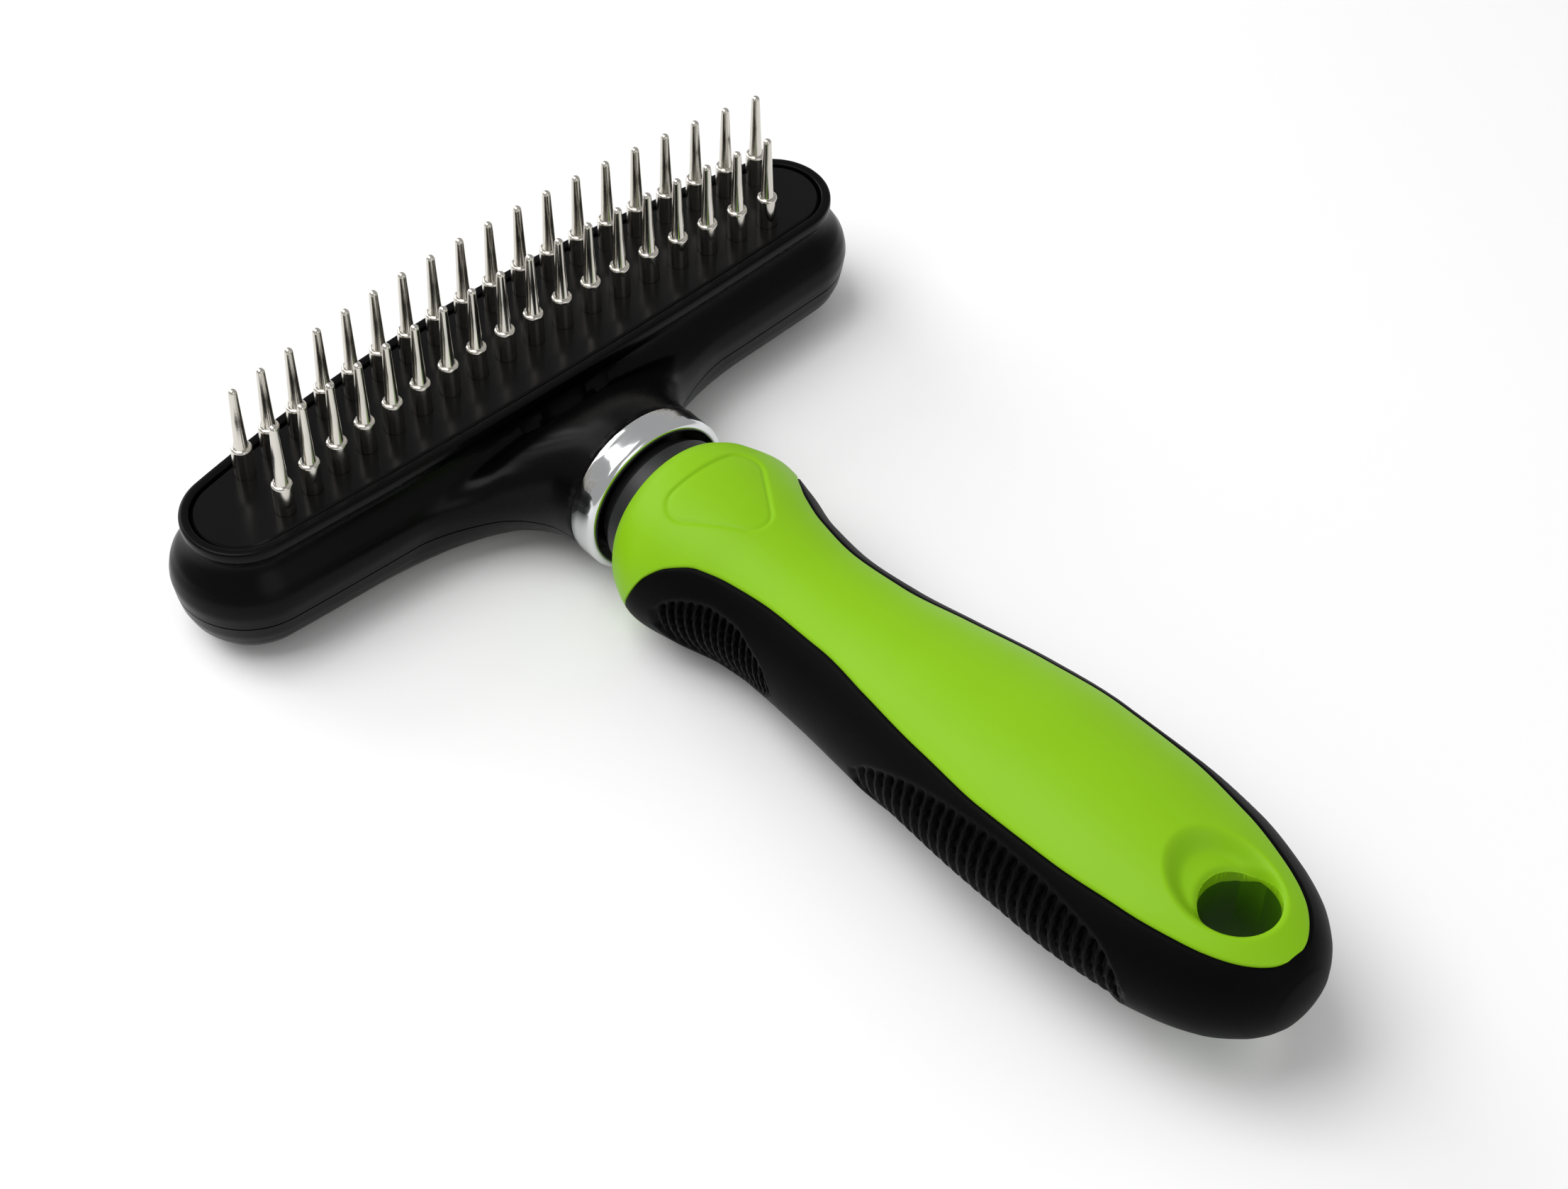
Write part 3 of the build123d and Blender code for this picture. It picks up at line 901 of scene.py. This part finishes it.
    def ribs(self, along: np.ndarray, turn: np.ndarray) -> np.ndarray:
        """How deep the two ribbed scoops on each side are cut, in mm."""
        slope = np.degrees(np.arcsin(np.sin(turn)))
        slope = np.where(np.sin(turn) < -0.999, -90.0, slope)
        place = np.broadcast_to(along[:, None], turn.shape)
        total = np.zeros(turn.shape)
        scoops = [
            (44.6, 65.0, 1.27, ((44.6, 2.0), (46.2, 13.0), (49.0, 21.5), (53.0, 26.5),
                                (56.5, 26.0), (60.0, 18.0), (63.0, 9.0), (65.0, -6.0))),
            (82.2, 129.6, 1.75, ((82.2, -2.0), (84.5, 10.0), (88.0, 18.5), (93.0, 26.5),
                                 (100.0, 31.5), (108.0, 34.0), (114.0, 33.5), (120.0, 29.5),
                                 (125.0, 22.5), (128.0, 10.0), (129.6, -4.0))),
        ]
        for start, stop, pitch, tops in scoops:
            top = eased(tops, 1, np.clip(place, start, stop))
            middle = eased(tops, 1, np.array([start]))[0] - 4.0
            bottom = 2 * middle - top - 6.0
            arc = 0.22
            inside = np.minimum(np.minimum(top - slope, slope - bottom) * arc,
                                np.minimum(place - start, stop - place))
            scoop = 0.5 * smooth_step(-0.55, 0.9, inside)
            wave = 0.5 + 0.5 * np.cos(2 * math.pi * (place - start - 0.02 * (top - slope)) / pitch)
            groove = 0.85 * smooth_step(0.22, 0.72, wave) * smooth_step(0.1, 1.0, inside)
            total = np.maximum(total, scoop + groove)
        return total

    def skin(
        self, name: str, along: np.ndarray, turn: np.ndarray, places: np.ndarray
    ) -> bpy.types.Object:
        """Close a sheet of outer points into a skin with an inner wall.

        Args:
            name: the piece's name.
            along: the rows' places.
            turn: angles of the outer columns.
            places: outer points, rows by columns.

        Returns:
            The closed piece.
        """
        wide, high, centre = self.ring(along)
        picks = np.linspace(turn.shape[1] - 1, 0, 14).astype(int)
        back = turn[:, picks]
        inner = np.stack(
            [
                np.maximum(wide - self.thick, 0.4 * wide)[:, None] * np.cos(back),
                np.broadcast_to((HEAD_LINE - np.minimum(along, 143.6))[:, None], back.shape),
                centre[:, None]
                + np.maximum(high - self.thick, 0.4 * high)[:, None] * np.sin(back),
            ],
            axis=-1,
        )
        inner[..., 2] -= self.dish(places[:, picks])
        rows = np.concatenate([places, inner], axis=1)
        lid = rows[0].copy()
        lid[: places.shape[1]] = self.lid(lid[places.shape[1]:], places.shape[1])
        piece = woven(name, np.concatenate([lid[None], rows]), True)
        face_out(piece, 1e-6)
        drop_inner_walls(piece)
        return piece

    def lid(self, inner: np.ndarray, count: int) -> np.ndarray:
        """Spread outer points along the inner ones, to shut a skin's first row."""
        share = np.linspace(len(inner) - 1, 0, count)
        return np.stack([np.interp(share, np.arange(len(inner)), inner[:, k]) for k in range(3)], 1)

    def soften_edges(self, places: np.ndarray, outward: np.ndarray) -> np.ndarray:
        """Roll a skin's long edges inwards, so that a fine groove shows between skins."""
        step = np.linalg.norm(np.diff(places, axis=1), axis=-1)
        run = np.concatenate([np.zeros((len(places), 1)), np.cumsum(step, axis=1)], axis=1)
        near = np.minimum(run, run[:, -1:] - run)
        roll = 0.26 * np.clip(1 - near / 0.55, 0, 1) ** 2
        return places - outward * roll[..., None]

    def drop_dish(self, places: np.ndarray) -> np.ndarray:
        """Lower the points that lie in the dish."""
        places = places.copy()
        places[..., 2] -= self.dish(places)
        return places

    def green(self) -> bpy.types.Object:
        """Model the inlay: the collar all round in front, then the top."""
        along = np.concatenate(
            [
                self.front + 0.7 * (1 - np.cos(np.linspace(0, math.pi / 2, 9))),
                np.arange(33.9, 36.8, 0.25),
                np.arange(36.9, 38.4, 0.03),
                np.arange(38.4, 52.5, 0.15),
                np.arange(52.5, 122.0, 0.4),
                np.arange(122.0, 140.5, 0.2),
                self.green_end - 2.1 * np.linspace(1, 0, 46) ** 2,
            ]
        )
        turn_low = self.edge_turn(along)
        share = self.columns(170)
        turn = turn_low[:, None] + (math.pi - 2 * turn_low[:, None]) * share
        places = self.surface(along, turn)
        outward = self.outward(places)
        places = places - outward * self.thumb_pad(places)[..., None]
        rolled = self.soften_edges(places, outward)
        split = (along > self.green_start)[:, None, None]
        places = self.drop_dish(np.where(split, rolled, places))
        return self.skin("green_inlay", along, turn, places)

    def black(self) -> bpy.types.Object:
        """Model the side grips: both sides, the underside and the tail."""
        along = np.concatenate(
            [
                np.arange(self.green_start, 38.4, 0.03),
                np.arange(38.4, 44.0, 0.2),
                np.arange(44.0, 66.0, 0.18),
                np.arange(66.0, 81.5, 0.4),
                np.arange(81.5, 130.5, 0.23),
                np.arange(130.5, 140.5, 0.3),
                self.green_end - 2.1 * np.linspace(1, 0, 30) ** 2,
                142.7 + (self.tail - 142.7) * np.sin(np.linspace(0, math.pi / 2, 26)[1:]),
            ]
        )
        turn_low = self.edge_turn(along)
        share = self.columns(150)
        turn = math.pi - turn_low[:, None] + (math.pi + 2 * turn_low[:, None]) * share
        places = self.surface(along, turn)
        outward = self.outward(places)
        sunk = places - outward * self.ribs(along, turn)[..., None]
        rolled = self.soften_edges(sunk, outward)
        before = (along < self.green_end)[:, None, None]
        places = self.drop_dish(np.where(before, rolled, sunk))
        return self.skin("black_side_grip", along, turn, places)

    def liner(self) -> bpy.types.Object:
        """Model the green tube that lines the hole down to the underside."""
        turn = np.linspace(0, 2 * math.pi, 97)[:-1]
        rows = []
        for radius, share in (
            (5.02, 1.0), (5.0, 0.3), (5.02, 0.06), (5.12, 0.02), (5.3, 0.0), (6.3, 0.0),
            (6.5, 0.03), (6.5, 0.3), (6.5, 1.0),
        ):
            x = radius * np.cos(turn)
            behind = self.hole_y - radius * np.sin(turn)
            wide, high, centre = self.ring(behind)
            rise = high * np.sqrt(np.clip(1 - (x / wide) ** 2, 0, 1))
            low, top = centre - rise + self.lining_lift, centre + rise
            place = np.column_stack([x, HEAD_LINE - behind, top])
            top = top - self.dish(place[None])[0] - self.lining_drop
            place[:, 2] = low + (top - low) * share
            rows.append(place)
        rows.append(rows[0])
        tube = woven("liner", np.array(rows), True)
        face_out(tube)
        return tube

    def build(
        self, green: bpy.types.Material, hole_painted_shade: bpy.types.Material, black: bpy.types.Material
    ) -> None:
        """Build both skins, open the hole through them and line it."""
        inlay, sides = self.green(), self.black()
        hole_at = HEAD_LINE - self.hole_y
        for piece, radius in ((inlay, self.hole_r), (sides, 6.5)):
            carve(piece, drum(radius, -5.0, 40.0, 0.0, hole_at))
            smooth(piece, 50.0)
        tube = self.liner()
        smooth(tube, 50.0)
        settle(tube, "hole_lining")
        # The lining wears the darker green, painted shade for the dim inside of the hole.
        join_body(tube, ROOT_BODY, Slot.GREEN_GRIP, hole_painted_shade)
        settle(inlay, "green_inlay")
        settle(sides, "black_side_grip")
        join_body(inlay, ROOT_BODY, Slot.GREEN_GRIP, green, "inlay_grip")
        join_body(sides, ROOT_BODY, Slot.BLACK_GRIP, black, "side_grip")


# ---- studio -----------------------------------------------------------------
@dataclass
class Studio:
    """A pale floor, soft lights and the camera."""

    lens: float = 75.97
    camera_at: tuple[float, float, float] = (-197.1, -203.19, 335.07)
    camera_turn: tuple[float, float, float] = (42.137, -0.459, -42.190)

    def lamp(
        self, name: str, at: tuple[float, float, float], size: float, watts: float
    ) -> None:
        """Hang a square soft light that faces the object."""
        rest_selection()
        bpy.ops.object.light_add(type="AREA", location=[c * MM for c in at])
        light = bpy.context.object
        light.name = name
        light.data.size = size * MM
        light.data.energy = watts
        aim = Vector((0, 0, 15 * MM)) - light.location
        light.rotation_euler = aim.to_track_quat("-Z", "Y").to_euler()

    def build(self) -> None:
        """Set the floor, the light and the camera."""
        rest_selection()
        bpy.ops.mesh.primitive_plane_add(size=6.0)
        floor = settle(bpy.context.object, "floor")
        paper = Finish("paper_sweep", "#FFFFFF", "#FCFCFC", 0.9, 0.02, grain_mm=4.0,
                       bump_mm=0.001, blotch_mm=300.0)
        dress(floor, paper.make())
        self.lamp("key_softbox", (-270, 200, 700), 560, 3.5)
        self.lamp("back_softbox", (-120, 700, 330), 480, 2.1)
        self.lamp("front_fill", (-60, -620, 380), 420, 0.6)
        world = bpy.data.worlds.new("pale_room")
        bpy.context.scene.world = world
        world.use_nodes = True
        glow = world.node_tree.nodes["Background"]
        glow.inputs["Color"].default_value = linear("#FFFFFF")
        glow.inputs["Strength"].default_value = 0.46
        rest_selection()
        bpy.ops.object.camera_add(
            location=[c * MM for c in self.camera_at],
            rotation=[math.radians(a) for a in self.camera_turn],
        )
        camera = bpy.context.object
        camera.data.lens = self.lens
        camera.data.sensor_width = 36.0
        camera.data.clip_start = 0.01
        bpy.context.scene.camera = camera
        bpy.context.scene.view_settings.view_transform = "Standard"


def main() -> None:
    """Build the rake's looks, piece by piece."""
    logging.basicConfig(level=logging.INFO, format="%(name)s %(message)s")
    abs_satin = SATIN_ABS.make()
    Head(Outline()).build(abs_satin, POLISHED_ABS.make())
    Pins().build(NICKEL.make())
    Ferrule().build(CHROME.make())
    Grip().build(
        # The second green is painted shade, for the lining inside the hole.
        LIME_RUBBER.make(), LIME_RUBBER_PAINTED_HOLE_SHADE.make(), GRIP_RUBBER.make()
    )
    inner, zinc = PLAIN_PP.make(), ZINC.make()
    for node in ("handle_core", "pin_retainer"):
        dress(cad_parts[node], inner)
    for node in ("head_screws", "neck_screw"):
        dress(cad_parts[node], zinc)
    Studio().build()
    bpy.context.view_layer.update()


if __name__ == "__main__":
    main()
